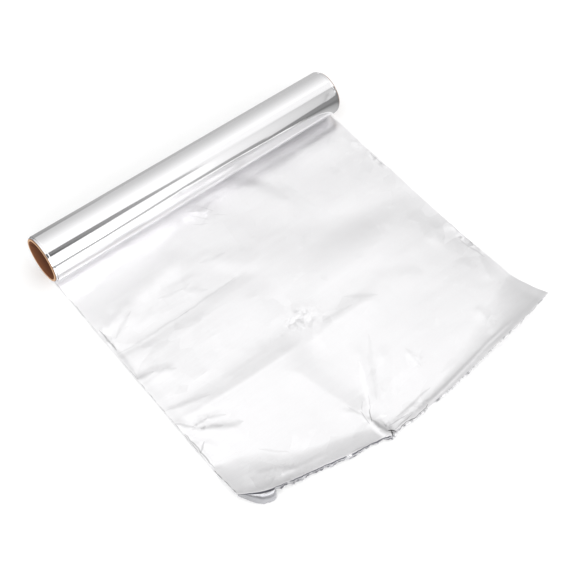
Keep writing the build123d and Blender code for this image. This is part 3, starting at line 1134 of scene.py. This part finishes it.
CARDS = {
    "card_right": Card(
        [(0.53, 0.04, 0), (0.21, -0.31, 0), (0.21, -0.31, 0.065), (0.53, 0.04, 0.22)],
        (0.1, 0.3, 0.3, 0.1)),
    "card_front": Card(
        [(0.21, -0.31, 0), (0.17, -0.344, 0.045), (0.11, -0.395, 0.06), (0.07, -0.429, 0.03),
         (0.01, -0.48, 0), (0.01, -0.48, 0.06), (0.07, -0.429, 0.085), (0.11, -0.395, 0.125),
         (0.17, -0.344, 0.127), (0.21, -0.31, 0.102)],
        (0.28, 0.38, 0.48, 0.46, 0.42, 0.46, 0.52, 0.56, 0.46, 0.38)),
    "card_left": Card(
        [(0.01, -0.48, 0), (-0.36, -0.19, 0), (-0.36, -0.19, 0.06), (0.01, -0.48, 0.075)],
        (0.45, 0.34, 0.42, 0.62)),
    "card_behind": Card(
        [(-0.36, 0.44, 0), (0.02, 0.37, 0), (0.02, 0.37, 0.04), (-0.36, 0.44, 0.14)],
        (0.1, 0.4, 0.4, 0.1)),
    "card_behind_roll": flat_card(
        LOW, [(-0.165, 0.03), (-0.075, 0.03), (0.42, 1.65), (0.15, 1.65)], (0.34, 0.5, 0.5, 0.34)),
    "card_past_roll": flat_card(
        LOW, [(-0.075, 0.03), (0.19, 0.03), (1.15, 1.65), (0.42, 1.65)], (0.5, 0.58, 0.58, 0.5)),
    "card_beside": flat_card(
        LOWEST, [(0.1525, -0.016), (0.1525, -0.14), (0.19, -0.16), (0.19, -0.03)], (0.56, 0.56, 0.2, 0.2)),
    "card_further": flat_card(
        LOWEST, [(0.19, -0.03), (0.19, -0.2), (0.25, -0.36), (0.38, -0.3), (0.3, -0.05)],
        (0.2, 0.2, 0.22, 0.22, 0.22)),
    "bar_above": flat_card(
        HIGH,
        [(-0.2, -0.86), (0.14, -0.84), (0.25, -0.83), (0.31, -0.79), (0.38, -0.76), (0.45, -0.77),
         (0.6, -0.78), (0.85, -0.78), (0.85, -0.63), (0.6, -0.6), (0.45, -0.56), (0.38, -0.52),
         (0.31, -0.46), (0.25, -0.42), (0.14, -0.38), (-0.2, -0.36)],
        (0.06, 0.08, 0.15, 0.34, 0.46, 0.52, 0.54, 0.62, 0.62, 0.54, 0.52, 0.46, 0.34, 0.15, 0.08, 0.06)),
    "screen_right": Card(
        [(0.42, -0.55, HIGH), (1.1, -0.55, HIGH), (1.1, -1.2, 0.03), (0.42, -1.2, 0.03)],
        (1.02, 0.14, 0.14, 1.02)),
    "veil_top": flat_card(
        HIGH, [(0.36, 0.02), (0.9, 0.02), (0.9, -0.12), (0.36, -0.12)], (1.12, 1.02, 0.94, 1.08)),
    "veil_low": flat_card(
        HIGH,
        [(0.36, -0.12), (0.9, -0.12), (0.9, -0.63), (0.6, -0.6), (0.45, -0.56), (0.38, -0.52), (0.36, -0.5)],
        (1.08, 0.94, 0.92, 0.93, 1, 1.08, 1.1)),
    "line_above": flat_card(
        HIGH - LOW, [(0.36, -0.44), (0.85, -0.47), (0.85, -0.51), (0.36, -0.49)], (0.9, 0.88, 0.86, 0.78)),
}


def add_card(name, card):
    """A card, as a photographer stands them, left out of the camera's own rays."""
    m = Nodes(name)
    plain = m.add("Emission", Color=(1, 1, 1, 1), Strength=m.attribute("level"))
    bm = bmesh.new()
    brightness = bm.verts.layers.float.new("level")
    points, edges = closed_outline(bm, [(x, y, FLOOR_Z + z) for x, y, z in card.corners])
    for point, value in zip(points, card.levels):
        point[brightness] = value
    bmesh.ops.contextual_create(bm, geom=edges)
    board = new_object(name, mesh_from(bm, name))
    board.data.materials.append(m.finish(plain.outputs[0]))
    board.visible_camera = False
    board.visible_diffuse = False
    board.visible_shadow = False


# The soft lamp, in front of the object and to its left: its place and its two sides
LAMP_PLACE = (-0.25, -1.1, 0.55)
LAMP_WIDTH = 1.2
LAMP_HEIGHT = 0.8


def add_lamp():
    """Broad soft lamp that looks at the object."""
    light = bpy.data.lights.new("soft_lamp", "AREA")
    light.shape = "RECTANGLE"
    light.size = LAMP_WIDTH
    light.size_y = LAMP_HEIGHT
    light.energy = bpy.context.scene.foil_stage.lamp_power
    lamp = new_object("soft_lamp", light)
    place = Vector(LAMP_PLACE)
    lamp.matrix_world = Matrix.Translation(place) @ (-place).to_track_quat("-Z", "Y").to_matrix().to_4x4()


class FOILROLL_OT_stage(bpy.types.Operator):
    """Set the floor, the studio light and the camera"""

    bl_idname = "foilroll.stage"
    bl_label = "Stage"

    def execute(self, context):
        add_camera()
        add_floor()
        add_world()
        add_lamp()
        for name, card in CARDS.items():
            add_card(name, card)
        context.scene.view_settings.view_transform = "Standard"
        return {"FINISHED"}


class FOILROLL_PT_sidebar(bpy.types.Panel):
    bl_label = "Foil Roll"
    bl_idname = "FOILROLL_PT_sidebar"
    bl_space_type = "VIEW_3D"
    bl_region_type = "UI"
    bl_category = "Foil Roll"

    def draw(self, context):
        for operator in OPERATORS:
            self.layout.operator(operator.bl_idname)
        for name in ("foil_roll", "foil_sheet", "foil_finish", "foil_stage"):
            group = getattr(context.scene, name)
            box = self.layout.box()
            for field in group.bl_rna.properties:
                if not field.is_readonly and field.identifier != "name":
                    box.prop(group, field.identifier)


OPERATORS = (FOILROLL_OT_core, FOILROLL_OT_turns, FOILROLL_OT_sheet, FOILROLL_OT_stage)
SETTINGS = {
    "foil_roll": RollSettings,
    "foil_sheet": SheetSettings,
    "foil_finish": FinishSettings,
    "foil_stage": StageSettings,
}


def register():
    for name, group in SETTINGS.items():
        bpy.utils.register_class(group)
        setattr(bpy.types.Scene, name, bpy.props.PointerProperty(type=group))
    for operator in OPERATORS:
        bpy.utils.register_class(operator)
    bpy.utils.register_class(FOILROLL_PT_sidebar)


def unregister():
    bpy.utils.unregister_class(FOILROLL_PT_sidebar)
    for operator in reversed(OPERATORS):
        bpy.utils.unregister_class(operator)
    for name, group in SETTINGS.items():
        delattr(bpy.types.Scene, name)
        bpy.utils.unregister_class(group)


def main():
    register()
    bpy.ops.foilroll.core()
    bpy.ops.foilroll.turns()
    bpy.ops.foilroll.sheet()
    bpy.ops.foilroll.stage()
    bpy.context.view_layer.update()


if __name__ == "__main__":
    main()
